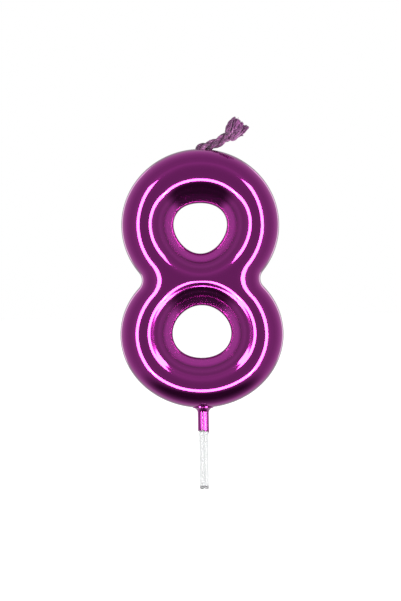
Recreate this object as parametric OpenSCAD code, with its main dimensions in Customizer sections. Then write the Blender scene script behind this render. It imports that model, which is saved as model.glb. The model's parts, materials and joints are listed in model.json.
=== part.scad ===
// Number 8 birthday candle: a moulded wax figure under a metallic lacquer coat, a twisted cotton wick
// and a clear plastic cake pick. Front is -Y, up is +Z, and z = 0 is where the clear pick leaves the
// lacquered neck, which is how deep it goes into the cake.

/* [Figure 8] */
// Width of the upper loop
upper_loop_w = 29.6; // [26:0.1:36]
// Height of the upper loop
upper_loop_h = 28.8; // [26:0.1:36]
// Width of the lower loop
lower_loop_w = 30.7; // [26:0.1:37]
// Height of the lower loop
lower_loop_h = 28.0; // [26:0.1:36]
// Stroke height at the top of the figure
crown_t = 10.3; // [9:0.1:13]
// Stroke height between the two holes
bridge_t = 9.4; // [8:0.1:12]
// Stroke height at the bottom of the figure
base_t = 9.5; // [9:0.1:13]
// Width of the upper hole
upper_hole_w = 9.8; // [7:0.1:12]
// Height of the upper hole
upper_hole_h = 9.5; // [7:0.1:12]
// Width of the lower hole
lower_hole_w = 10.8; // [7:0.1:13]
// Height of the lower hole
lower_hole_h = 10.1; // [7:0.1:13]
// Depth of the wax from front to back
body_depth = 9.0; // [8:0.1:12]
// Radius of the rounded notch at each side of the waist
waist_fillet = 2.0; // [1:0.1:4]
// Width of the slope from the outer edge up to the crest
outer_slope = 4.3; // [3.5:0.1:6]
// Width of the slope from a hole's edge up to the crest
hole_slope = 5.3; // [4:0.1:7]
// Height of the straight wall in each hole, from the middle to either side
hole_land = 0.9; // [0.5:0.1:1.5]

/* [Lacquer] */
// Thickness of the metallic coat
coat_t = 0.1; // [0.06:0.01:0.3]
// Height of the lacquered neck on the pick, below the figure
neck_h = 3.8; // [2:0.1:8]
// Height of the flare where the neck meets the figure
neck_flare_h = 0.7; // [0.4:0.1:1.5]

/* [Pick] */
// Diameter of the clear shank
pick_d = 1.68; // [1.4:0.02:2.4]
// Length of the clear shank
pick_len = 11.15; // [8:0.05:45]
// Chamfer round the shank's tip
tip_chamfer = 0.3; // [0.1:0.05:0.5]
// Step by which the root, inside the neck and the wax, stands proud of the shank
root_step = 0.16; // [0.16:0.01:0.3]
// Length of the root moulded into the wax
anchor_len = 7.0; // [5:0.1:8]
// Step by which the barbs and the head stand proud of the root
barb_step = 0.6; // [0.3:0.05:1]
// Height of each barb
barb_h = 1.2; // [0.8:0.1:1.5]
// Distance from the figure's lowest point up to the first barb, and on to the second
barb_spacing = 2.1; // [1.8:0.1:2.4]
// Thickness of the head
head_t = 0.6; // [0.4:0.1:1]
// Width of the groove down the front and back
groove_w = 0.36; // [0.2:0.02:0.5]
// Depth of the groove
groove_depth = 0.3; // [0.1:0.02:0.5]

/* [Wick] */
// Diameter over the twisted strands
wick_d = 2.0; // [1.4:0.05:2.6]
// Length of one full turn of the twist
wick_pitch = 7.0; // [5:0.1:12]
// Radius of the bend just below the wick's exit
exit_bend_r = 2.5; // [2:0.1:4]
// Radius of the free end's upward curve
free_curve_r = 12.5; // [8:0.1:30]
// Angle above horizontal at which the free end leaves the figure
free_rise = 10; // [5:1:60]
// Angle through which the free end curves
free_sweep = 45; // [20:1:60]
// Diameter of the frayed tuft at the tip
tuft_d = 3.9; // [2.5:0.1:5]
// Length of the frayed tuft
tuft_len = 4.2; // [2:0.1:6]
// Gap round the wick in its channel
wick_gap = 0.05; // [0.03:0.01:0.15]
// Gap round the wick where it bends
bend_gap = 0.15; // [0.08:0.01:0.25]

/* [Hidden] */

// Facet counts: steps round each loop's outline, along the waist, across the stroke, and round a strand
outline_steps = 40;
waist_steps = 12;
stroke_steps = 8;
strand_sides = 8;
strand_step = 0.7;
free_step = 0.35;
round_fn = 64;
root_find_steps = 30;

// The pick's thicker parts
root_d = pick_d + 2 * root_step;
barb_d = root_d + 2 * barb_step;

// Heights of the figure's features, built up stroke by stroke from the neck
body_bottom = neck_h + coat_t;
lower_hole_z = body_bottom + base_t + lower_hole_h / 2;
bridge_z = body_bottom + base_t + lower_hole_h + bridge_t / 2;
upper_hole_z = bridge_z + bridge_t / 2 + upper_hole_h / 2;
body_top = upper_hole_z + upper_hole_h / 2 + crown_t;
lower_loop_z = body_bottom + lower_loop_h / 2;
upper_loop_z = body_top - upper_loop_h / 2;

// ---- The figure 8, as one closed surface ----

// How far a point lies inside an ellipse, along the ray from its centre
function depth_in(p, z, w, h) =
    let (q = [p[0], p[1] - z], n = norm(q), k = norm([2 * q[0] / w, 2 * q[1] / h]))
    n < 0.001 ? min(w, h) / 2 : n * (1 - k) / k;

// How far a point lies inside the outline of both loops, with the waist's notches rounded
function outline_depth(p, grow) =
    let (a = depth_in(p, upper_loop_z, upper_loop_w + 2 * grow, upper_loop_h + 2 * grow),
         b = depth_in(p, lower_loop_z, lower_loop_w + 2 * grow, lower_loop_h + 2 * grow),
         r = waist_fillet - grow)
    norm([max(r + a, 0), max(r + b, 0)]) + min(-r, max(a, b));

// Rise of the outer slope, a quarter round: 0 at its foot, 1 at the crest and beyond
function slope(u) = u >= 1 ? 1 : u <= 0 ? 0 : sqrt(1 - (1 - u) * (1 - u));

// Rise of the slope into a hole: a funnel that eases into the crest and ends in a short straight wall
function funnel(u, land) = u >= 1 ? 1 : u <= 0 ? 0 : land + (1 - land) * sin(90 * u);

// Half the figure's depth at a point, from its distance to the outline and to both holes
function half_depth(p, grow) =
    let (to_upper = -depth_in(p, upper_hole_z, upper_hole_w - 2 * grow, upper_hole_h - 2 * grow),
         to_lower = -depth_in(p, lower_hole_z, lower_hole_w - 2 * grow, lower_hole_h - 2 * grow),
         full = body_depth / 2 + grow,
         land = (hole_land + grow) / full)
    full
        * slope(outline_depth(p, grow) / (outer_slope + grow))
        * funnel(to_upper / (hole_slope + grow), land)
        * funnel(to_lower / (hole_slope + grow), land);

// Distance from a point, in a direction, to the outline, by halving
function reach(from, dir, grow, near, far, steps) =
    let (mid = (near + far) / 2)
    steps == 0 ? mid
        : outline_depth(from + mid * dir, grow) > 0 ? reach(from, dir, grow, mid, far, steps - 1)
        : reach(from, dir, grow, near, mid, steps - 1);

// One loop's edge points: its outline, then the waist line that it shares with the other loop.
// up is 1 for the upper loop and -1 for the lower one.
function loop_edge(up, hole_z, grow) =
    let (centre = [0, hole_z],
         far = upper_loop_w + lower_loop_w,
         waist_x = reach([0, bridge_z], [1, 0], grow, 0, far, root_find_steps),
         dip = atan2(abs(bridge_z - hole_z), waist_x),
         start = up > 0 ? -dip : 180 - dip,
         turn = 180 + 2 * dip)
    concat(
        [[up * waist_x, bridge_z]],
        [for (i = [1 : outline_steps - 1])
            let (angle = start + turn * i / outline_steps, dir = [cos(angle), sin(angle)])
            centre + dir * reach(centre, dir, grow, 0, far, root_find_steps)],
        [for (k = [0 : waist_steps - 1]) [-up * waist_x * cos(180 * k / waist_steps), bridge_z]]);

// Point on a hole's edge that faces an edge point
function hole_point(edge, hole_z, w, h) =
    let (q = edge - [0, hole_z]) [0, hole_z] + q / norm([2 * q[0] / w, 2 * q[1] / h]);

edge_count = outline_steps + waist_steps;

// Every point of one loop's front or back surface, from the hole's edge out
function loop_points(side, up, grow) =
    let (hole_z = up > 0 ? upper_hole_z : lower_hole_z,
         w = (up > 0 ? upper_hole_w : lower_hole_w) - 2 * grow,
         h = (up > 0 ? upper_hole_h : lower_hole_h) - 2 * grow)
    [for (edge = loop_edge(up, hole_z, grow))
        let (inner = hole_point(edge, hole_z, w, h))
        for (j = [0 : stroke_steps])
            let (t = (1 - cos(180 * j / stroke_steps)) / 2,
                 p = inner + (edge - inner) * t,
                 on_waist = abs(edge[1] - bridge_z) < 0.001,
                 rim = j == 0 || (j == stroke_steps && !(on_waist && outline_depth(p, grow) > 0.01)))
            [p[0], rim ? 0 : side * half_depth(p, grow), p[1]]];

// Index of a surface point. Points on a rim belong to the front, and waist points to the upper loop.
function point_at(back, lower, i, j) =
    let (rim = j == 0 || (j == stroke_steps && i <= outline_steps),
         shared = j == stroke_steps && lower == 1 && (i >= outline_steps || i == 0),
         i_upper = i == 0 ? outline_steps : (2 * outline_steps + waist_steps - i) % edge_count)
    (((rim ? 0 : back) * 2 + (shared ? 0 : lower)) * edge_count + (shared ? i_upper : i))
        * (stroke_steps + 1) + j;

function quad(a, b, c, d) = [[a, b, c], [a, c, d]];

// The whole figure, grown outwards by a film's thickness
module figure_eight(grow) {
    points = concat(loop_points(-1, 1, grow), loop_points(-1, -1, grow),
                    loop_points(1, 1, grow), loop_points(1, -1, grow));
    faces = [for (back = [0, 1], lower = [0, 1], i = [0 : edge_count - 1], j = [0 : stroke_steps - 1])
        let (n = (i + 1) % edge_count,
             a = point_at(back, lower, i, j),
             b = point_at(back, lower, n, j),
             c = point_at(back, lower, n, j + 1),
             d = point_at(back, lower, i, j + 1))
        each (back == 0 ? quad(a, b, c, d) : quad(d, c, b, a))];
    polyhedron(points, faces, convexity = 8);
}

// ---- The wick's route ----

// The wick goes down through the figure along its stroke: round the left of the upper hole, across
// the bridge, and round the right of the lower hole, on one circle about each hole's centre.
ring_r = (upper_hole_z - lower_hole_z) / 2;
wick_r = wick_d / 2;
pivot = [0.3, body_top + 0.05];
exit_r = wick_r + bend_gap;
exit_centre = [pivot[0] - exit_bend_r,
               upper_hole_z + sqrt(pow(ring_r + exit_bend_r, 2) - pow(exit_bend_r - pivot[0], 2))];
// Angle, seen from the upper hole, at which the exit bend joins the ring
join_angle = atan2(exit_centre[1] - upper_hole_z, exit_centre[0]);
lower_end_angle = -58;
inside_top = pivot[1] - exit_r - 0.05;

// Route pieces inside the wax, from the exit down: a straight, then arcs as [centre, radius, from, to]
straight_len = inside_top - exit_centre[1];
chamber_share = 1.04;
arcs = [
    [exit_centre, exit_bend_r, 0, join_angle - 180],
    [[0, upper_hole_z], ring_r, join_angle, 270],
    [[0, lower_hole_z], ring_r, 90, lower_end_angle]
];
function arc_len(a) = a[1] * abs(a[3] - a[2]) * PI / 180;

function arc_start(a) = [a[0][0] + a[1] * cos(a[2]), 0, a[0][1] + a[1] * sin(a[2])];

// Place and heading along an arc, as [x, z, heading]
function on_arc(a, s) =
    let (turn = sign(a[3] - a[2]), angle = a[2] + turn * s / a[1] * 180 / PI)
    [a[0][0] + a[1] * cos(angle), a[0][1] + a[1] * sin(angle), angle + 90 * turn];

// Place and heading at a distance down the inside route
function inside_route(s, k = 0) =
    k == 0 && s < straight_len ? [pivot[0], inside_top - s, -90]
        : let (left = k == 0 ? s - straight_len : s)
          k == len(arcs) - 1 || left < arc_len(arcs[k]) ? on_arc(arcs[k], left)
        : inside_next(left - arc_len(arcs[k]), k + 1);
function inside_next(s, k) =
    k == len(arcs) - 1 || s < arc_len(arcs[k]) ? on_arc(arcs[k], s)
        : inside_next(s - arc_len(arcs[k]), k + 1);
inside_len = straight_len + arc_len(arcs[0]) + arc_len(arcs[1]) + arc_len(arcs[2]);

// Place and heading along the free end, which curves up from the pivot
free_arc = [pivot + free_curve_r * [-sin(free_rise), cos(free_rise)], free_curve_r,
            free_rise - 90, free_rise + free_sweep - 90];
free_len = arc_len(free_arc);

// ---- Strands ----

// Three equal strands touch each other at this share of the wick's radius
strand_share = 1 / (1 + 2 / sqrt(3));
strand_fit = 0.02;

// A ring of points round a strand. at is [x, z, heading], turn the strand's place round the wick's line.
function strand_ring(at, turn, lay_r, r) =
    let (side = [-sin(at[2]), cos(at[2])],
         u = lay_r * cos(turn), v = lay_r * sin(turn))
    [for (n = [0 : strand_sides - 1])
        let (a = u + r * cos(360 * n / strand_sides), b = v + r * sin(360 * n / strand_sides))
        [at[0] + a * side[0], b, at[1] + a * side[1]]];

// A closed tube through rings of equal size
module skin(rings) {
    n = len(rings[0]);
    last = len(rings) - 1;
    points = [for (ring = rings) each ring];
    faces = concat(
        [for (i = [0 : last - 1], k = [0 : n - 1])
            let (m = (k + 1) % n)
            each quad(i * n + k, i * n + m, (i + 1) * n + m, (i + 1) * n + k)],
        [[for (k = [n - 1 : -1 : 0]) k]],
        [[for (k = [0 : n - 1]) last * n + k]]);
    polyhedron(points, faces, convexity = 8);
}

module strand_inside(number) {
    r = wick_r * strand_share - strand_fit;
    lay_r = wick_r * (1 - strand_share);
    count = ceil(inside_len / strand_step);
    skin([for (i = [0 : count])
        let (s = inside_len * i / count)
        strand_ring(inside_route(s), 120 * number - 360 * s / wick_pitch, lay_r, r)]);
}

// The free strands open out into a tuft over their last stretch
module strand_free(number) {
    count = ceil(free_len / free_step);
    tight = wick_r * strand_share - strand_fit;
    loose = tuft_d / 2 * 0.4;
    skin([for (i = [0 : count])
        let (s = free_len * i / count,
             open = max(0, (s - free_len + tuft_len) / tuft_len),
             flare = slope(open) * (1 - 0.45 * pow(open, 6)),
             r = tight + (loose - tight) * flare,
             lay_r = wick_r * (1 - strand_share) + (tuft_d / 2 - loose - wick_r * (1 - strand_share)) * slope(open))
        strand_ring(on_arc(free_arc, s), 120 * number + 360 * s / wick_pitch, lay_r, r)]);
}

// ---- Spaces that the wax and the lacquer leave for the wick ----

// Part of a ring-shaped bore, in the figure's plane
module ring_bore(a, r) {
    from = min(a[2], a[3]);
    translate([a[0][0], 0, a[0][1]])
        rotate([90, 0, 0])
            rotate([0, 0, from])
                rotate_extrude(angle = abs(a[3] - a[2]), $fn = round_fn)
                    translate([a[1], 0]) circle(r = r, $fn = round_fn);
}

// The channel, with a slightly wider chamber where one bend meets the next
module wick_channel() {
    r = wick_r + wick_gap;
    translate([pivot[0], 0, exit_centre[1]]) cylinder(h = straight_len + exit_r, r = r, $fn = round_fn);
    for (a = arcs) {
        ring_bore(a, r);
        translate(arc_start(a)) sphere(r = chamber_share * r, $fn = round_fn);
    }
}

// Room for the free end to lie at rest and to be bent upright
module wick_exit() {
    lie = free_rise + 6;
    translate([pivot[0], 0, pivot[1]]) {
        sphere(r = exit_r, $fn = round_fn);
        rotate([0, 90 - lie, 0]) cylinder(h = 3 * wick_d, r = exit_r, $fn = round_fn);
    }
}

// ---- Pieces ----

module wax_body() {
    color("ivory")
        difference() {
            figure_eight(0);
            wick_channel();
            wick_exit();
            pick_solid();
        }
}

// The lacquered neck: a thin sleeve on the pick that flares into the figure
module neck() {
    r = root_d / 2 + coat_t;
    flare = neck_flare_h;
    rotate_extrude($fn = round_fn)
        polygon(concat(
            [[0, 0], [r, 0]],
            [for (a = [180 : -15 : 90]) [r + flare + flare * cos(a), neck_h - flare + flare * sin(a)]],
            [[r + flare, neck_h + 1], [0, neck_h + 1]]));
}

module lacquer_coat() {
    color("mediumvioletred")
        difference() {
            union() {
                figure_eight(coat_t);
                neck();
            }
            figure_eight(0);
            wick_channel();
            wick_exit();
            pick_solid();
        }
}

// Barb: a cone that slides in and holds against pulling out
module barb(z) {
    translate([0, 0, z]) cylinder(h = barb_h, r1 = barb_d / 2, r2 = root_d / 2, $fn = round_fn);
}

// The pick without its grooves, which is also the space that it takes in the wax and the lacquer
module pick_solid() {
    rotate_extrude($fn = round_fn)
        polygon([
            [0, -pick_len],
            [pick_d / 2 - tip_chamfer, -pick_len],
            [pick_d / 2, tip_chamfer - pick_len],
            [pick_d / 2, 0],
            [root_d / 2, 0],
            [root_d / 2, neck_h + anchor_len],
            [0, neck_h + anchor_len]
        ]);
    for (n = [1, 2]) barb(body_bottom + n * barb_spacing);
    translate([0, 0, neck_h + anchor_len - head_t]) cylinder(h = head_t, r = barb_d / 2, $fn = round_fn);
}

// One groove down the front or back, with a round top just under the figure
module groove(side) {
    top = neck_h - 0.4;
    depth = [pick_d / 2, root_d / 2];
    for (k = [0, 1]) {
        low = k == 0 ? -pick_len - 1 : 0;
        high = k == 0 ? 0 : top;
        translate([-groove_w / 2, side * depth[k] - groove_depth, low])
            cube([groove_w, 2 * groove_depth, high - low]);
    }
    translate([0, side * root_d / 2, top])
        rotate([90, 0, 0])
            cylinder(h = 2 * groove_depth, d = groove_w, center = true, $fn = round_fn);
}

module cake_pick() {
    color("whitesmoke")
        difference() {
            pick_solid();
            groove(-1);
            groove(1);
        }
}

module wick_strand(number) { color("linen") strand_inside(number); }
module wick_end(number) { color("mediumvioletred") strand_free(number); }

wax_body();
lacquer_coat();
cake_pick();
wick_strand(1);  // wick_strand_1
wick_strand(2);  // wick_strand_2
wick_strand(3);  // wick_strand_3
wick_end(1);  // wick_end_1
wick_end(2);  // wick_end_2
wick_end(3);  // wick_end_3
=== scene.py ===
import json
import math

import bmesh
import bpy
import numpy as np
from mathutils import Matrix, Vector


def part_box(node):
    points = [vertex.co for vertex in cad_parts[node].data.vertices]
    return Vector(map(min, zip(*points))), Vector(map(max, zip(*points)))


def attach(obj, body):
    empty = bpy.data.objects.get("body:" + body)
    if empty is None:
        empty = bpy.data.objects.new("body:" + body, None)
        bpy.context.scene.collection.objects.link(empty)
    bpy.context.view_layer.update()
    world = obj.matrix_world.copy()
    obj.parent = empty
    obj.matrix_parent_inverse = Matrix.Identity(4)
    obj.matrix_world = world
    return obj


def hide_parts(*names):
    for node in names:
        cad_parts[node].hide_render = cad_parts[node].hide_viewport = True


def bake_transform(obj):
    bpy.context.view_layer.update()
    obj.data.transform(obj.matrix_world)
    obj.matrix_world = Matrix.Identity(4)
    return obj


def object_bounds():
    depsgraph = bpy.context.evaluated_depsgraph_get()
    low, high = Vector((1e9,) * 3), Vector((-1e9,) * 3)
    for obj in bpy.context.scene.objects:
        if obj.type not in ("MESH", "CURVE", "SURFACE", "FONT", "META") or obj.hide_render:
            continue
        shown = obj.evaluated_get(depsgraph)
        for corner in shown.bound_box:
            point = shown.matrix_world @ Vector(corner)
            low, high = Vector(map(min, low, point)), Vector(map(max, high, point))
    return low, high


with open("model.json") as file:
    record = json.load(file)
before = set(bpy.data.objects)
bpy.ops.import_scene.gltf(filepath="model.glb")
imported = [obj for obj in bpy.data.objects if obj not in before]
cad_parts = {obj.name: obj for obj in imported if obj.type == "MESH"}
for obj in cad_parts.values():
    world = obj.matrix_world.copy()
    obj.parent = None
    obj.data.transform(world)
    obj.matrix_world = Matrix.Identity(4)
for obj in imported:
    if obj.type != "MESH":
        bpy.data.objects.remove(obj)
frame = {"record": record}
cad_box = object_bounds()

# ---------------------------------------------------------------------------------------------------
# Studio: a pale floor at the pick's tip, a long-lens camera square on to the front, and soft boxes to
# the left, to the right and low in front, with weaker ones behind. Bright lacquer shows what is round
# it, so the boxes' places decide where its highlights lie.
# ---------------------------------------------------------------------------------------------------
MM = 0.001
scene = bpy.context.scene
scene.view_settings.view_transform = "Standard"

low = Vector(cad_box[0])
view_height = 112.6 * MM
view_middle = Vector((-0.18 * MM, 0, 24.2 * MM))
camera_distance = 0.6
camera_roll = math.radians(0.93)

camera_data = bpy.data.cameras.new("camera")
camera_data.sensor_fit = "VERTICAL"
camera_data.sensor_height = 24
camera_data.lens = camera_data.sensor_height * camera_distance / view_height
camera_data.clip_start = 0.01
camera = bpy.data.objects.new("camera", camera_data)
camera.location = view_middle + Vector((0, -camera_distance, 0))
camera.rotation_euler = (math.pi / 2, camera_roll, 0)
scene.collection.objects.link(camera)
scene.camera = camera


def linear(hex_colour):
    """Turns an sRGB hex colour into linear red, green, blue and alpha."""
    channels = [int(hex_colour[i:i + 2], 16) / 255 for i in (1, 3, 5)]
    return [c / 12.92 if c <= 0.04045 else ((c + 0.055) / 1.055) ** 2.4 for c in channels] + [1.0]


def add_node(tree, kind, settings=None, links=None):
    """Adds a node. Settings are attributes or inputs with values, and links are inputs with sources."""
    node = tree.nodes.new(kind)
    for key, value in (settings or {}).items():
        if isinstance(key, str) and hasattr(node, key):
            setattr(node, key, value)
        else:
            node.inputs[key].default_value = value
    for key, source in (links or {}).items():
        tree.links.new(source, node.inputs[key])
    return node


# Places of a colour mix node's own sockets, which share their names with its other kinds
MIX_A, MIX_B, MIX_RESULT = 6, 7, 2


def new_material(name):
    """A material with nothing in it but its output, and its node tree."""
    material = bpy.data.materials.new(name)
    material.use_nodes = True
    material.node_tree.nodes.clear()
    return material, material.node_tree


def surface(tree, settings, links=None):
    """A material's shader, linked to its output."""
    shader = add_node(tree, "ShaderNodeBsdfPrincipled", settings, links)
    add_node(tree, "ShaderNodeOutputMaterial", links={0: shader.outputs[0]})


def link_object(name, mesh, material):
    """Puts a finished mesh in the scene at the origin."""
    piece = bpy.data.objects.new(name, mesh)
    scene.collection.objects.link(piece)
    mesh.materials.clear()
    mesh.materials.append(material)
    return piece


def soft_box(name, direction, width, height, power):
    """A soft box in a direction from the figure's middle, facing it. Its size is in metres."""
    light = bpy.data.lights.new(name, "AREA")
    light.shape = "RECTANGLE"
    light.size = width
    light.size_y = height
    light.energy = power
    lamp = bpy.data.objects.new(name, light)
    away = Vector(direction).normalized()
    lamp.location = view_middle + away * box_distance
    lamp.rotation_euler = away.to_track_quat("Z", "Y").to_euler()
    lamp.visible_camera = False
    scene.collection.objects.link(lamp)


box_distance = 0.5
box_angle = math.radians(36)
side_power = 3.0
low_power = 2.5
back_power = 0.2
side, ahead = math.sin(box_angle), math.cos(box_angle)
soft_box("box_left", (-side, -ahead, 0), 0.14, 0.62, side_power)
soft_box("box_right", (side, -ahead, 0), 0.14, 0.62, side_power)
soft_box("box_low", (0, -ahead, -side), 0.6, 0.12, low_power)
soft_box("box_back_left", (-side, ahead, 0.2), 0.14, 0.5, back_power)
soft_box("box_back_right", (side, ahead, 0.2), 0.14, 0.5, back_power)

# The room: white to the eye. Reflections see it grey, brighter behind the candle, with a dark stretch below
# the low box.
world = bpy.data.worlds.new("studio")
scene.world = world
world.use_nodes = True
tree = world.node_tree
tree.nodes.clear()
way = add_node(tree, "ShaderNodeTexCoord")
split = add_node(tree, "ShaderNodeSeparateXYZ", links={0: way.outputs["Generated"]})
facing = add_node(tree, "ShaderNodeMapRange", {"From Min": 1.0, "From Max": -1.0}, {0: split.outputs["Y"]})


def colour_ramp(tree, source, stops):
    """A ramp through stops, each a position and a colour."""
    ramp = add_node(tree, "ShaderNodeValToRGB", links={0: source})
    elements = ramp.color_ramp.elements
    for element, (position, colour) in zip((elements[0], elements[1]), (stops[0], stops[-1])):
        element.position = position
        element.color = colour
    for position, colour in stops[1:-1]:
        elements.new(position).color = colour
    return ramp.outputs["Color"]


def greys(*stops):
    """Stops of grey, each given as a position and a brightness."""
    return [(position, (grey, grey, grey, 1)) for position, grey in stops]


round_about = colour_ramp(tree, facing.outputs[0], greys(
    (0.0, 0.4), (0.07, 0.45), (0.25, 0.62), (0.41, 0.5), (0.5, 0.4), (0.63, 0.32), (0.75, 0.34), (0.82, 0.42),
    (0.93, 0.3), (1.0, 0.26)))
below = colour_ramp(tree, facing.outputs[0], greys(
    (0.0, 1.0), (0.3, 0.9), (0.42, 0.5), (0.55, 0.2), (0.62, 0.1), (0.83, 0.1), (0.9, 0.9), (1.0, 1.0)))
lowness = add_node(tree, "ShaderNodeMapRange",
                   {"interpolation_type": "SMOOTHSTEP", "From Min": -0.58, "From Max": -0.85},
                   {0: split.outputs["Z"]})
dimmed = add_node(tree, "ShaderNodeMix", {"data_type": "RGBA", "blend_type": "MULTIPLY"},
                  {"Factor": lowness.outputs[0], MIX_A: round_about, MIX_B: below})
room = add_node(tree, "ShaderNodeBackground", {"Strength": 1.0}, {"Color": dimmed.outputs[MIX_RESULT]})
white = add_node(tree, "ShaderNodeBackground", {"Color": (1, 1, 1, 1), "Strength": 1.0})
through_clear = add_node(tree, "ShaderNodeBackground", {"Color": (1, 1, 1, 1), "Strength": 0.8})
path = add_node(tree, "ShaderNodeLightPath")
seen = add_node(tree, "ShaderNodeMixShader", links={
    0: path.outputs["Is Glossy Ray"], 1: white.outputs[0], 2: room.outputs[0]})
seen = add_node(tree, "ShaderNodeMixShader", links={
    0: path.outputs["Is Transmission Ray"], 1: seen.outputs[0], 2: through_clear.outputs[0]})
add_node(tree, "ShaderNodeOutputWorld", links={0: seen.outputs[0]})

# Floor: a wide matt white board
floor_material, tree = new_material("matt_white_board")
surface(tree, {
    "Base Color": linear("#f4f4f4"), "Roughness": 0.9, "Emission Color": (1, 1, 1, 1),
    "Emission Strength": 0.25})
floor_mesh = bpy.data.meshes.new("floor")
reach = 6.0
corners = [(-reach, -reach, low.z), (reach, -reach, low.z), (reach, reach, low.z), (-reach, reach, low.z)]
floor_mesh.from_pydata(corners, [], [(0, 1, 2, 3)])
floor = link_object("floor", floor_mesh, floor_material)
floor.visible_glossy = False
floor.visible_shadow = False

# ---------------------------------------------------------------------------------------------------
# Lacquer coat and wax: the candle is paraffin, moulded in two halves as a swollen figure 8, and then
# coated all over with a thin vacuum-metallised lacquer. Seen from the front it has one crest all
# round, a quarter-round slope to the outside and a funnel down into each hole.
# ---------------------------------------------------------------------------------------------------
coat_low, coat_high = (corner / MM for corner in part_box("lacquer_coat"))
wax_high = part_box("wax_body")[1] / MM
coat_thickness = coat_high.y - wax_high.y
half_depth = coat_high.y
neck_height = 4.1
figure_height = 48.5
upper_loop = (29.6, 28.5)
lower_loop = (30.6, 27.5)
upper_hole = (9.9, 9.4)
lower_hole = (10.9, 9.8)
upper_hole_swell = 0.04
lower_hole_swell = -0.02
crown = 10.0
bridge = 10.0
waist_fillet = 2.0
figure_bottom = coat_low.z + neck_height
figure_top = figure_bottom + figure_height
upper_loop_z = figure_top - upper_loop[1] / 2
upper_hole_z = figure_top - crown - upper_hole[1] / 2
lower_hole_z = upper_hole_z - upper_hole[1] / 2 - bridge - lower_hole[1] / 2
lower_loop_z = figure_bottom + lower_loop[1] / 2
waist_z = upper_hole_z - upper_hole[1] / 2 - bridge / 2


def oval_share(x, z, size, swell):
    """0 at an oval's middle and 1 on its edge. It is an ellipse that swells towards its upper corners."""
    return np.hypot(2 * x / size[0], 2 * z / size[1]) / (1 + swell * np.sin(3 * np.arctan2(z, x)))


def depth_in(x, z, middle_z, size, swell=0.0):
    """How far points lie inside an oval, along the rays from its middle."""
    n = np.hypot(x, z - middle_z)
    k = oval_share(x, z - middle_z, size, swell)
    return np.where(n < 1e-6, min(size) / 2, n * (1 - k) / np.maximum(k, 1e-9))


def outline_depth(x, z):
    """How far points lie inside the two loops together, with a rounded notch at each side of the waist."""
    a = depth_in(x, z, upper_loop_z, upper_loop)
    b = depth_in(x, z, lower_loop_z, lower_loop)
    r = waist_fillet
    return np.hypot(np.maximum(r + a, 0), np.maximum(r + b, 0)) + np.minimum(-r, np.maximum(a, b))


def reach_outline(middle_z, dx, dz):
    """Distance from a hole's middle to the outline in each direction, by halving."""
    near, far = np.zeros_like(dx), np.full_like(dx, 60.0)
    for _ in range(40):
        half = (near + far) / 2
        inside = outline_depth(half * dx, middle_z + half * dz) > 0
        near, far = np.where(inside, half, near), np.where(inside, far, half)
    return near


def flat_figure(name, ring_steps, waist_steps, stroke_steps):
    """The figure's plan as a flat mesh: a grid round each hole, with the distance to each edge on it."""
    waist_x = float(reach_outline(waist_z, np.array([1.0]), np.array([0.0]))[0])
    points, faces = [], []
    for up, hole_z, size, swell in ((1, upper_hole_z, upper_hole, upper_hole_swell),
                                    (-1, lower_hole_z, lower_hole, lower_hole_swell)):
        dip = math.atan2(abs(waist_z - hole_z), waist_x)
        start = -dip if up > 0 else math.pi - dip
        angles = start + (math.pi + 2 * dip) * np.arange(ring_steps + 1) / ring_steps
        dx, dz = np.cos(angles), np.sin(angles)
        far = reach_outline(hole_z, dx, dz)
        share = np.cos(math.pi * np.arange(1, waist_steps) / waist_steps)
        edge_x = np.concatenate([far * dx, -up * waist_x * share])
        edge_z = np.concatenate([hole_z + far * dz, np.full(waist_steps - 1, waist_z)])
        k = oval_share(edge_x, edge_z - hole_z, size, swell)
        hole_x, hole_dz = edge_x / k, (edge_z - hole_z) / k
        t = (1 - np.cos(math.pi * np.arange(stroke_steps + 1) / stroke_steps)) / 2
        x = hole_x[:, None] + (edge_x - hole_x)[:, None] * t
        z = hole_z + hole_dz[:, None] + (edge_z - hole_z - hole_dz)[:, None] * t
        first, across, rows = len(points), stroke_steps + 1, len(edge_x)
        points += [(px, 0.0, pz) for px, pz in zip(x.ravel(), z.ravel())]
        for i in range(rows):
            n = (i + 1) % rows
            for j in range(stroke_steps):
                faces.append([first + i * across + j, first + n * across + j,
                              first + n * across + j + 1, first + i * across + j + 1])
    co = np.array(points)
    x, z = co[:, 0], co[:, 2]
    mesh = bpy.data.meshes.new(name)
    mesh.from_pydata((co * MM).tolist(), [], faces)
    distances = {
        "outline_mm": outline_depth(x, z),
        "upper_hole_mm": -depth_in(x, z, upper_hole_z, upper_hole, upper_hole_swell),
        "lower_hole_mm": -depth_in(x, z, lower_hole_z, lower_hole, lower_hole_swell)}
    for label, values in distances.items():
        mesh.attributes.new(label, "FLOAT", "POINT").data.foreach_set("value", np.maximum(values, 0))
    return mesh


# Rise of each slope from its edge to the crest. A slope is given as distance from the edge in mm with
# the tilt of the surface there in degrees, and summed up.
OUTER_TILTS = ((0, 88), (0.1, 82), (0.4, 68), (0.8, 57), (1.3, 49), (1.8, 43), (2.3, 38),
               (2.7, 31), (3.05, 25), (3.4, 18), (3.75, 10), (4.3, 0))
UPPER_HOLE_TILTS = ((0, 88), (0.035, 88), (0.07, 50), (0.3, 39), (1.5, 38), (1.8, 43), (2.2, 37),
                    (2.6, 41), (3.3, 36), (3.7, 29), (4.1, 23), (4.45, 17.5), (4.85, 9), (5.4, 0))
LOWER_HOLE_TILTS = ((0, 88), (0.035, 88), (0.07, 50), (0.3, 39), (1.5, 38), (1.8, 43), (2.2, 37),
                    (2.6, 41), (3.1, 37), (3.35, 29), (3.6, 18), (3.85, 27), (4.2, 24), (4.5, 17.5), (4.9, 9),
                    (5.4, 0))


# The casting is never quite even: its depth wavers by a small share over a few millimetres
ripple_length = 9 * MM
ripple_share = 0.03


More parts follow.
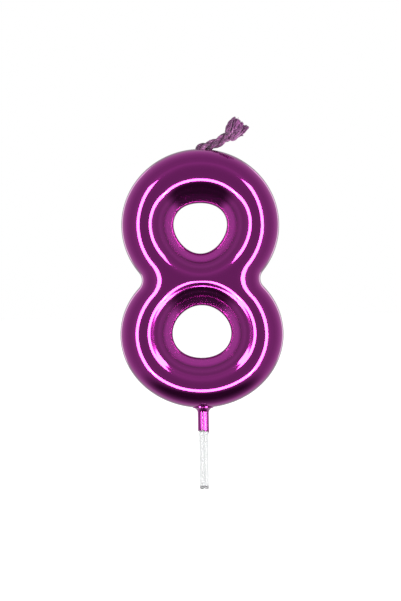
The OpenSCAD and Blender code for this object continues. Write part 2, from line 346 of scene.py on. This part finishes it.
def rise(tilts, count=30):
    """Share of the crest's height reached at evenly spaced distances, from the tilts."""
    d, tilt = np.array(tilts, float).T
    fine = np.linspace(0, d[-1], 4001)
    steep = np.tan(np.radians(np.minimum(np.interp(fine, d, tilt), 88)))
    height = np.concatenate([[0], np.cumsum((steep[1:] + steep[:-1]) / 2 * np.diff(fine))])
    at = d[-1] * (np.arange(count + 1) / count) ** 1.7
    return [(a / d[-1], h) for a, h in zip(at, np.interp(at, fine, height) / height[-1])], d[-1]


def float_curve(tree, source, tilts):
    """A slope's rise as a curve node on a distance in mm."""
    curve, width = rise(tilts)
    share = add_node(tree, "ShaderNodeMath", {"operation": "DIVIDE", "use_clamp": True, 1: width},
                     {0: source})
    node = add_node(tree, "ShaderNodeFloatCurve", {"Factor": 1.0}, {"Value": share.outputs[0]})
    line = node.mapping.curves[0]
    line.points[0].location = curve[0]
    line.points[1].location = curve[-1]
    for place in curve[1:-1]:
        line.points.new(*place)
    node.mapping.update()
    return node.outputs[0]


def open_group(name, setting, kind):
    """A node group that takes a mesh, one setting and a material, with the node that gives them."""
    group = bpy.data.node_groups.new(name, "GeometryNodeTree")
    group.interface.new_socket("Geometry", in_out="INPUT", socket_type="NodeSocketGeometry")
    group.interface.new_socket(setting, in_out="INPUT", socket_type=kind)
    group.interface.new_socket("Material", in_out="INPUT", socket_type="NodeSocketMaterial")
    group.interface.new_socket("Geometry", in_out="OUTPUT", socket_type="NodeSocketGeometry")
    return group, add_node(group, "NodeGroupInput")


def close_group(group, given, geometry):
    """Ends a node group: shaded smooth, realised, and given its material."""
    smooth = add_node(group, "GeometryNodeSetShadeSmooth", links={0: geometry})
    real = add_node(group, "GeometryNodeRealizeInstances", links={0: smooth.outputs[0]})
    coated = add_node(group, "GeometryNodeSetMaterial", links={
        "Geometry": real.outputs[0], "Material": given.outputs["Material"]})
    add_node(group, "NodeGroupOutput", links={0: coated.outputs[0]})


def swell_tree(name):
    """Node group that swells a flat figure to both sides by its three slopes, and closes it at the middle."""
    group, given = open_group(name, "Half depth", "NodeSocketFloat")
    height = given.outputs["Half depth"]
    for label, tilts in (("outline_mm", OUTER_TILTS), ("upper_hole_mm", UPPER_HOLE_TILTS),
                         ("lower_hole_mm", LOWER_HOLE_TILTS)):
        distance = add_node(group, "GeometryNodeInputNamedAttribute", {"data_type": "FLOAT", "Name": label})
        curve = float_curve(group, distance.outputs[0], tilts)
        height = add_node(group, "ShaderNodeMath", {"operation": "MULTIPLY"},
                          {0: height, 1: curve}).outputs[0]
    ripple = add_node(group, "ShaderNodeTexNoise", {"Scale": 1 / ripple_length, "Detail": 1.0},
                      {"Vector": add_node(group, "GeometryNodeInputPosition").outputs[0]})
    waver = add_node(group, "ShaderNodeMath",
                     {"operation": "MULTIPLY_ADD", 1: ripple_share, 2: 1 - ripple_share},
                     {0: ripple.outputs[0]})
    height = add_node(group, "ShaderNodeMath", {"operation": "MULTIPLY"},
                      {0: height, 1: waver.outputs[0]}).outputs[0]
    halves = []
    for way in (-1, 1):
        lift = add_node(group, "ShaderNodeMath", {"operation": "MULTIPLY", 1: way}, {0: height})
        shift = add_node(group, "ShaderNodeCombineXYZ", links={"Y": lift.outputs[0]})
        half = add_node(group, "GeometryNodeSetPosition", links={
            "Geometry": given.outputs["Geometry"], "Offset": shift.outputs[0]}).outputs[0]
        if way < 0:
            half = add_node(group, "GeometryNodeFlipFaces", links={0: half}).outputs[0]
        halves.append(half)
    joined = add_node(group, "GeometryNodeJoinGeometry")
    for half in halves:
        group.links.new(half, joined.inputs[0])
    merged = add_node(group, "GeometryNodeMergeByDistance", {"Distance": 0.002 * MM},
                      {"Geometry": joined.outputs[0]})
    close_group(group, given, merged.outputs[0])
    return group


def bake(name, start_mesh, group, values, material):
    """Runs a node group on a mesh with its inputs set, and gives a plain piece at the origin."""
    maker = bpy.data.objects.new(name + "_maker", start_mesh)
    scene.collection.objects.link(maker)
    modifier = maker.modifiers.new("make", "NODES")
    modifier.node_group = group
    for item in group.interface.items_tree:
        if item.item_type == "SOCKET" and item.in_out == "INPUT" and item.name in values:
            modifier[item.identifier] = values[item.name]
    bpy.context.view_layer.update()
    mesh = bpy.data.meshes.new_from_object(maker.evaluated_get(bpy.context.evaluated_depsgraph_get()))
    mesh.name = name
    bpy.data.objects.remove(maker)
    return link_object(name, mesh, material)


# Metallised lacquer: dyed clear varnish over a mirror-like film. The eye sees deep magenta with sharp pink
# highlights. Round the holes its colour holds painted light: a painted pale glow beside each hole, a painted
# dark edge at the rim, and a painted dark ring with a paler ring beyond it.
lacquer, tree = new_material("metallised_lacquer")
to_upper = add_node(tree, "ShaderNodeAttribute", {"attribute_name": "upper_hole_mm"})
to_lower = add_node(tree, "ShaderNodeAttribute", {"attribute_name": "lower_hole_mm"})
to_hole = add_node(tree, "ShaderNodeMath", {"operation": "MINIMUM"},
                   {0: to_upper.outputs["Fac"], 1: to_lower.outputs["Fac"]})
painted_hole_light_share = add_node(tree, "ShaderNodeMath", {"operation": "DIVIDE", 1: 4.0}, {0: to_hole.outputs[0]})
# Painted reflection: by distance from the hole the ramp paints a dark rim edge, a pale glow over the first
# 1.5 mm, a dark ring near 1.8 mm and a lighter ring near 2.5 mm
tone = colour_ramp(tree, painted_hole_light_share.outputs[0], [(place, linear(colour)) for place, colour in (
    (0.0, "#7c1470"), (0.05, "#c83cb4"), (0.12, "#f04cd8"), (0.32, "#ee44d6"), (0.4, "#c428b0"),
    (0.46, "#90107e"), (0.52, "#b01a9c"), (0.62, "#bc2aa8"), (0.75, "#aa1896"), (1.0, "#b21a9e"))])
surface(tree, {
    "Metallic": 1.0, "Roughness": 0.09, "Coat Weight": 1.0, "Coat Roughness": 0.05}, {"Base Color": tone})

swell = swell_tree("swell_figure")
coat = bake("lacquer_figure", flat_figure("coat_plan", 220, 60, 56), swell,
            {"Half depth": half_depth * MM, "Material": lacquer}, lacquer)
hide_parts("lacquer_coat")
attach(coat, "candle")

# The wax itself, one film's thickness inside the lacquer
wax_material, tree = new_material("cast_paraffin_wax")
surface(tree, {"Base Color": linear("#efe8d8"), "Roughness": 0.45})
wax_mesh = coat.data.copy()
wax_mesh.name = "wax_figure"
normals = np.zeros(len(wax_mesh.vertices) * 3)
wax_mesh.vertex_normals.foreach_get("vector", normals)
places = np.zeros_like(normals)
wax_mesh.vertices.foreach_get("co", places)
wax_mesh.vertices.foreach_set("co", places - coat_thickness * MM * normals)
wax = link_object("wax_figure", wax_mesh, wax_material)
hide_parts("wax_body")
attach(wax, "candle")

# ---------------------------------------------------------------------------------------------------
# Neck: the same lacquer ran a few millimetres down the pick when the figure was dipped. It flares into
# the figure, follows the pick's groove, and ends in a ragged edge with one drip on the right.
# ---------------------------------------------------------------------------------------------------
neck_radius = 1.06
neck_film = 0.09
flare_radius = 0.9
groove_middle = 0.12
groove_half_width = 0.55
groove_depth = 0.3
groove_top = 3.6
neck_edge = -0.15
drip_low = -1.3
drip_heading = 0.1
drip_width = 0.33
thin_edge = 0.02
round_steps, rise_steps = 96, 70

around = 2 * math.pi * np.arange(round_steps) / round_steps
drip = np.exp(-((around - drip_heading - math.pi * 2 * (around > math.pi)) / drip_width) ** 2)
ragged = 0.12 * np.sin(3 * around + 1.0) + 0.08 * np.sin(7 * around)
edge_z = neck_edge + ragged + (drip_low - neck_edge) * drip
share = np.linspace(0, 1, rise_steps)[:, None]
neck_z = edge_z + share * (neck_height + 0.5 - edge_z)
over = np.clip((neck_z - (neck_height - flare_radius)) / flare_radius, 0, 1)
neck_r = neck_radius + flare_radius * (1 - np.sqrt(1 - over ** 2))
side_x = np.cos(around) * neck_radius - np.where(np.sin(around) < 0, groove_middle, -groove_middle)
arch = np.clip((neck_z - groove_top + groove_half_width) / groove_half_width, 0, 0.999)
arch_width = groove_half_width * np.sqrt(1 - arch ** 2)
hollow = np.cos(math.pi / 2 * np.clip(np.abs(side_x) / arch_width, 0, 1)) ** 1.5 * (neck_z < groove_top)
thin = 1 - np.clip((neck_z - edge_z) / 0.5, 0, 1) ** 0.5
outer_r = neck_r - groove_depth * hollow - (neck_film - thin_edge) * thin
inner_r = neck_r - groove_depth * hollow - neck_film
rings = np.concatenate([outer_r, inner_r[::-1]])
ring_z = np.concatenate([neck_z, neck_z[::-1]])
co = np.stack([rings * np.cos(around), rings * np.sin(around), ring_z], axis=2).reshape(-1, 3)
faces = []
for i in range(2 * rise_steps):
    j = (i + 1) % (2 * rise_steps)
    for k in range(round_steps):
        m = (k + 1) % round_steps
        faces.append((i * round_steps + k, i * round_steps + m, j * round_steps + m, j * round_steps + k))
neck_mesh = bpy.data.meshes.new("lacquer_neck")
neck_mesh.from_pydata((co * MM).tolist(), [], faces)
neck_mesh.shade_smooth()

neck_lacquer, tree = new_material("lacquer_run_on_the_pick")
place = add_node(tree, "ShaderNodeTexCoord")
height = add_node(tree, "ShaderNodeSeparateXYZ", links={0: place.outputs["Object"]})
patches = add_node(tree, "ShaderNodeTexNoise", {"Scale": 1 / (0.8 * MM), "Detail": 2.0},
                   {"Vector": place.outputs["Object"]})
broken = add_node(tree, "ShaderNodeMath", {"operation": "MULTIPLY_ADD", 1: 0.9 * MM}, {
    0: patches.outputs[0], 2: height.outputs["Z"]})
cover = add_node(tree, "ShaderNodeMapRange",
                 {"From Min": -0.3 * MM, "From Max": 0.5 * MM, "To Min": 0.3, "To Max": 1.0},
                 {0: broken.outputs[0]})
surface(tree, {
    "Base Color": linear("#b21a9e"), "Metallic": 1.0, "Roughness": 0.12, "Coat Weight": 1.0,
    "Coat Roughness": 0.05},
    {"Alpha": cover.outputs[0]})
neck = link_object("lacquer_neck", neck_mesh, neck_lacquer)
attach(neck, "candle")

# ---------------------------------------------------------------------------------------------------
# Cake pick: one clear polystyrene moulding. A groove down its front and back leaves two ribs, each with
# a round end at the bottom. Its barbed root and head hold it in the wax.
# ---------------------------------------------------------------------------------------------------
pick_low, pick_high = (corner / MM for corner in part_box("cake_pick"))
shank_radius = 0.84
root_radius = 1.0
barb_radius = pick_high.x
barb_height = 1.2
barb_spacing = 2.1
head_thickness = 0.6
pick_groove_half = 0.2
pick_groove_depth = 0.42
rib_middle = 0.44
rib_round = 0.5
rib_end_height = 0.4
barb_ease = 0.05

body_foot = figure_bottom + coat_thickness
profile = [(shank_radius, z) for z in np.linspace(pick_low.z + 0.02, -0.1, 30)] + [(root_radius, 0.05)]
profile += [(root_radius, z) for z in np.linspace(0.3, body_foot + barb_spacing - barb_ease, 16)]
for n, top in ((1, body_foot + 2 * barb_spacing), (2, pick_high.z - head_thickness)):
    foot = body_foot + n * barb_spacing
    profile += [(barb_radius, foot), (root_radius, foot + barb_height), (root_radius, top - barb_ease)]
profile += [(barb_radius, pick_high.z - head_thickness), (barb_radius, pick_high.z)]
around = 2 * math.pi * np.arange(64) / 64
ring_x, ring_y = np.cos(around), np.sin(around)


def pick_ring(radius, z):
    """One ring round the pick, with its groove at the front and back where it isn't barbed."""
    off = np.where(ring_y < 0, groove_middle, -groove_middle)
    depth = pick_groove_depth * np.exp(-((radius * ring_x - off) / pick_groove_half) ** 2)
    r = radius - np.where((radius <= root_radius) & (z < groove_top), depth, 0)
    return np.stack([r * ring_x, r * ring_y, np.full_like(ring_x, z)], axis=1)


rings = [pick_ring(r, z) for r, z in profile]
foot_ring = rings[0]
caps = []
for f in (0.0, 0.3, 0.55, 0.75, 0.9, 0.97):
    cap = foot_ring * (f, f, 1)
    reach_out = np.hypot(np.abs(cap[:, 0]) - rib_middle, cap[:, 1]) / rib_round
    cap[:, 2] = pick_low.z + rib_end_height * (1 - np.sqrt(np.clip(1 - reach_out ** 2, 0, 1)))
    caps.append(cap)
rings[0][:, 2] = pick_low.z + rib_end_height + 0.05
rings = caps + rings + [rings[-1] * (0.5, 0.5, 1), rings[-1] * (0, 0, 1)]
co = np.concatenate(rings)
count = len(around)
faces = [(i * count + k, i * count + (k + 1) % count, (i + 1) * count + (k + 1) % count, (i + 1) * count + k)
         for i in range(len(rings) - 1) for k in range(count)]
pick_mesh = bpy.data.meshes.new("clear_pick")
pick_mesh.from_pydata((co * MM).tolist(), [], faces)
work = bmesh.new()
work.from_mesh(pick_mesh)
bmesh.ops.remove_doubles(work, verts=work.verts, dist=0.001 * MM)
bmesh.ops.recalc_face_normals(work, faces=work.faces)
work.to_mesh(pick_mesh)
work.free()
pick_mesh.shade_smooth()

# Clear polystyrene: glassy and a little grey, with faint flow lines from moulding along its length
polystyrene, tree = new_material("clear_polystyrene")
place = add_node(tree, "ShaderNodeTexCoord")
long_way = add_node(tree, "ShaderNodeMapping", {"Scale": (1, 1, 0.06)}, {"Vector": place.outputs["Object"]})
flow = add_node(tree, "ShaderNodeTexNoise", {"Scale": 1 / (0.35 * MM), "Detail": 3.0},
                {"Vector": long_way.outputs[0]})
bump = add_node(tree, "ShaderNodeBump", {"Strength": 0.25, "Distance": 0.03 * MM},
                {"Height": flow.outputs[0]})
gloss = add_node(tree, "ShaderNodeMapRange", {"To Min": 0.12, "To Max": 0.3}, {0: flow.outputs[0]})
surface(tree, {
    "Base Color": linear("#cdcfcf"), "Transmission Weight": 0.92, "IOR": 1.59},
    {"Normal": bump.outputs[0], "Roughness": gloss.outputs[0]})
pick = link_object("clear_pick", pick_mesh, polystyrene)
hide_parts("cake_pick")
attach(pick, "candle")

# ---------------------------------------------------------------------------------------------------
# Wick: three cotton plies twisted together, stiff with lacquer where they stand free, and frayed into a
# tuft at the tip. The wick comes straight up out of the figure, and was bent over by hand at its foot.
# ---------------------------------------------------------------------------------------------------
hinge = Vector(frame["record"]["behaviour"]["joints"][0]["pos_m"]) / MM
wick_radius = 1.0
ply_share = 1 / (1 + 2 / math.sqrt(3))
lay_radius = wick_radius * (1 - ply_share)
ply_radius = wick_radius * ply_share
wick_pitch = 7.0
free_radius = 12.5
free_rise = math.radians(10)
free_sweep = math.radians(45)
free_length = free_radius * free_sweep
tuft_length = 4.2
tuft_radius = 1.95
foot_length = 1.1
bend_reach = 0.75
open_lay = 1.1
thread_pitch = 4.6
thread_share = 0.36
thread_step = 0.14
curl_size = 0.16
loose_fibres = 46
step = 0.08

# Middle line of the wick: heading and place against distance from the bend
line_s = np.arange(-foot_length, free_length + step, step)
arc_heading = free_rise + line_s / free_radius
turned = np.clip((line_s + bend_reach) / (2 * bend_reach), 0, 1)
turned = turned * turned * (3 - 2 * turned)
heading = math.pi / 2 + (arc_heading - math.pi / 2) * turned
line_x = np.cumsum(np.cos(heading)) * step
line_z = np.cumsum(np.sin(heading)) * step
anchor = np.searchsorted(line_s, 3.0)
arc_middle = np.array([hinge.x - free_radius * math.sin(free_rise),
                       hinge.z + free_radius * math.cos(free_rise)])
line_x += arc_middle[0] + free_radius * math.sin(arc_heading[anchor]) - line_x[anchor]
line_z += arc_middle[1] - free_radius * math.cos(arc_heading[anchor]) - line_z[anchor]

rng = np.random.default_rng(8)
fibre_points, fibre_edges, fibre_radius, fibre_tone, fibre_fray = [], [], [], [], []


def add_fibre(s, across, out, radius, tone):
    """Adds a fibre beside the wick's middle line: across in the figure's plane, out to front or back."""
    x, z, turn = np.interp(s, line_s, line_x), np.interp(s, line_s, line_z), np.interp(s, line_s, heading)
    first = len(fibre_points)
    fibre_points.extend(zip(x - across * np.sin(turn), out, z + across * np.cos(turn)))
    fibre_edges.extend((first + i, first + i + 1) for i in range(len(s) - 1))
    fibre_radius.extend(radius)
    fibre_tone.extend([tone] * len(s))
    fibre_fray.extend(np.clip((s - free_length + tuft_length) / tuft_length, 0, 1))


def opening(s):
    """How far the tuft has opened, from 0 at its start to 1 at the tip."""
    share = np.clip((s - free_length + tuft_length) / tuft_length, 0, 1)
    return np.sqrt(1 - (1 - share) ** 2), share


threads = 8
for ply in range(3):
    for thread in range(threads):
        end = free_length - rng.uniform(0.3, 1.1)
        s = np.arange(-foot_length, end, thread_step)
        flare, share = opening(s)
        lay = lay_radius + (open_lay - lay_radius) * flare
        turn = 2 * math.pi * (ply / 3 + (s - 0.45 * share * tuft_length * share) / wick_pitch)
        spread = ply_radius * (0.66 + 0.9 * flare * (1 - 0.35 * share ** 4)) if thread else 0 * s
        spin = 2 * math.pi * (thread / (threads - 1) - (s - 0.5 * share * tuft_length) / thread_pitch) + ply
        curl = rng.uniform(-1, 1, 2)
        wave = curl_size * share * np.sin(2.2 * s + 6 * curl[0])
        across = lay * np.cos(turn) + spread * np.cos(spin) + wave
        out = lay * np.sin(turn) + spread * np.sin(spin) + curl_size * share * np.sin(2.6 * s + 6 * curl[1])
        thick = ply_radius * thread_share * (1 + 0.8 * flare) * (1 - 0.55 * share ** 6)
        add_fibre(s, across, out, thick, rng.uniform())
for _ in range(loose_fibres):
    start, end = free_length - rng.uniform(2.6, tuft_length), free_length - rng.uniform(0.2, 1.5)
    s = np.linspace(start, end, 12)
    flare, share = opening(s)
    way = rng.uniform(0, 2 * math.pi) + 0.35 * (s - start)
    reach_out = 0.75 + (rng.uniform(0.7, 1.0) * (tuft_radius - 0.1) - 0.75) * flare
    add_fibre(s, reach_out * np.cos(way), reach_out * np.sin(way), np.linspace(0.13, 0.05, 12), rng.uniform())
# Two stray ends, dark with lacquer, stand out at either side of the tuft
for way, start in ((0.12, 2.0), (math.pi - 0.1, 2.6)):
    s = np.linspace(free_length - start, free_length - start + 0.5, 8)
    reach_out = np.linspace(1.2, 1.9, 8)
    add_fibre(s, reach_out * np.cos(way), reach_out * math.sin(way), np.linspace(0.22, 0.08, 8), 0.0)

fibre_mesh = bpy.data.meshes.new("wick_fibres")
fibre_mesh.from_pydata((np.array(fibre_points) * MM).tolist(), fibre_edges, [])
for label, values in (("thickness", np.array(fibre_radius) * MM), ("tone", fibre_tone), ("fray", fibre_fray)):
    values = np.array(values, dtype=float)
    fibre_mesh.attributes.new(label, "FLOAT", "POINT").data.foreach_set("value", values)

thread_group, given = open_group("round_threads", "Sides", "NodeSocketInt")
lines = add_node(thread_group, "GeometryNodeMeshToCurve", links={0: given.outputs["Geometry"]})
thickness = add_node(thread_group, "GeometryNodeInputNamedAttribute",
                     {"data_type": "FLOAT", "Name": "thickness"})
section = add_node(thread_group, "GeometryNodeCurvePrimitiveCircle", {"Radius": 1.0},
                   {"Resolution": given.outputs["Sides"]})
swept = add_node(thread_group, "GeometryNodeCurveToMesh", {"Fill Caps": True}, {
    "Curve": lines.outputs[0], "Profile Curve": section.outputs[0], "Scale": thickness.outputs[0]})
close_group(thread_group, given, swept.outputs[0])

# Lacquered cotton: matt fibres with lacquer caught on them, from plum to pale pink at random from fibre to
# fibre and in patches
cotton, tree = new_material("lacquered_cotton")
tone = add_node(tree, "ShaderNodeAttribute", {"attribute_name": "tone"})
fray = add_node(tree, "ShaderNodeAttribute", {"attribute_name": "fray"})
place = add_node(tree, "ShaderNodeTexCoord")
mottle = add_node(tree, "ShaderNodeTexNoise", {"Scale": 1 / (0.7 * MM), "Detail": 4.0},
                  {"Vector": place.outputs["Object"]})
mixed = add_node(tree, "ShaderNodeMath", {"operation": "MULTIPLY_ADD", 1: 0.45},
                 {0: tone.outputs["Fac"], 2: mottle.outputs[0]})
shade = colour_ramp(tree, mixed.outputs[0], [(spot, linear(colour)) for spot, colour in (
    (0.45, "#240a20"), (0.65, "#481442"), (0.85, "#6c3462"), (1.0, "#94648c"))])
fray_share = add_node(tree, "ShaderNodeMath", {"operation": "MULTIPLY", 1: 0.6}, {0: fray.outputs["Fac"]})
bright = add_node(tree, "ShaderNodeMix", {"data_type": "RGBA", MIX_B: linear("#600e5a")}, {
    "Factor": fray_share.outputs[0], MIX_A: shade})
fuzz = add_node(tree, "ShaderNodeTexNoise", {"Scale": 1 / (0.12 * MM), "Detail": 2.0},
                {"Vector": place.outputs["Object"]})
bump = add_node(tree, "ShaderNodeBump", {"Strength": 0.6, "Distance": 0.04 * MM}, {"Height": fuzz.outputs[0]})
surface(tree, {"Metallic": 0.25, "Roughness": 0.42, "Sheen Weight": 0.2},
        {"Base Color": bright.outputs[MIX_RESULT], "Normal": bump.outputs[0]})

wick = bake("twisted_wick", fibre_mesh, thread_group, {"Sides": 6, "Material": cotton}, cotton)
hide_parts("wick_end_1", "wick_end_2", "wick_end_3")
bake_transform(wick)

# Inside the wax the three plies are plain undyed cotton
raw_cotton, tree = new_material("waxed_raw_cotton")
place = add_node(tree, "ShaderNodeTexCoord")
slub = add_node(tree, "ShaderNodeTexNoise", {"Scale": 1 / (0.5 * MM), "Detail": 3.0},
                {"Vector": place.outputs["Object"]})
shade = add_node(tree, "ShaderNodeMix",
                 {"data_type": "RGBA", MIX_A: linear("#d8cdb8"), MIX_B: linear("#f2ead9")}, {
    "Factor": slub.outputs[0]})
bump = add_node(tree, "ShaderNodeBump", {"Strength": 0.5, "Distance": 0.05 * MM}, {"Height": slub.outputs[0]})
surface(tree, {"Roughness": 0.7}, {"Base Color": shade.outputs[MIX_RESULT], "Normal": bump.outputs[0]})
for number in (1, 2, 3):
    ply = bpy.data.objects["wick_strand_" + str(number)]
    ply.data.materials.clear()
    ply.data.materials.append(raw_cotton)
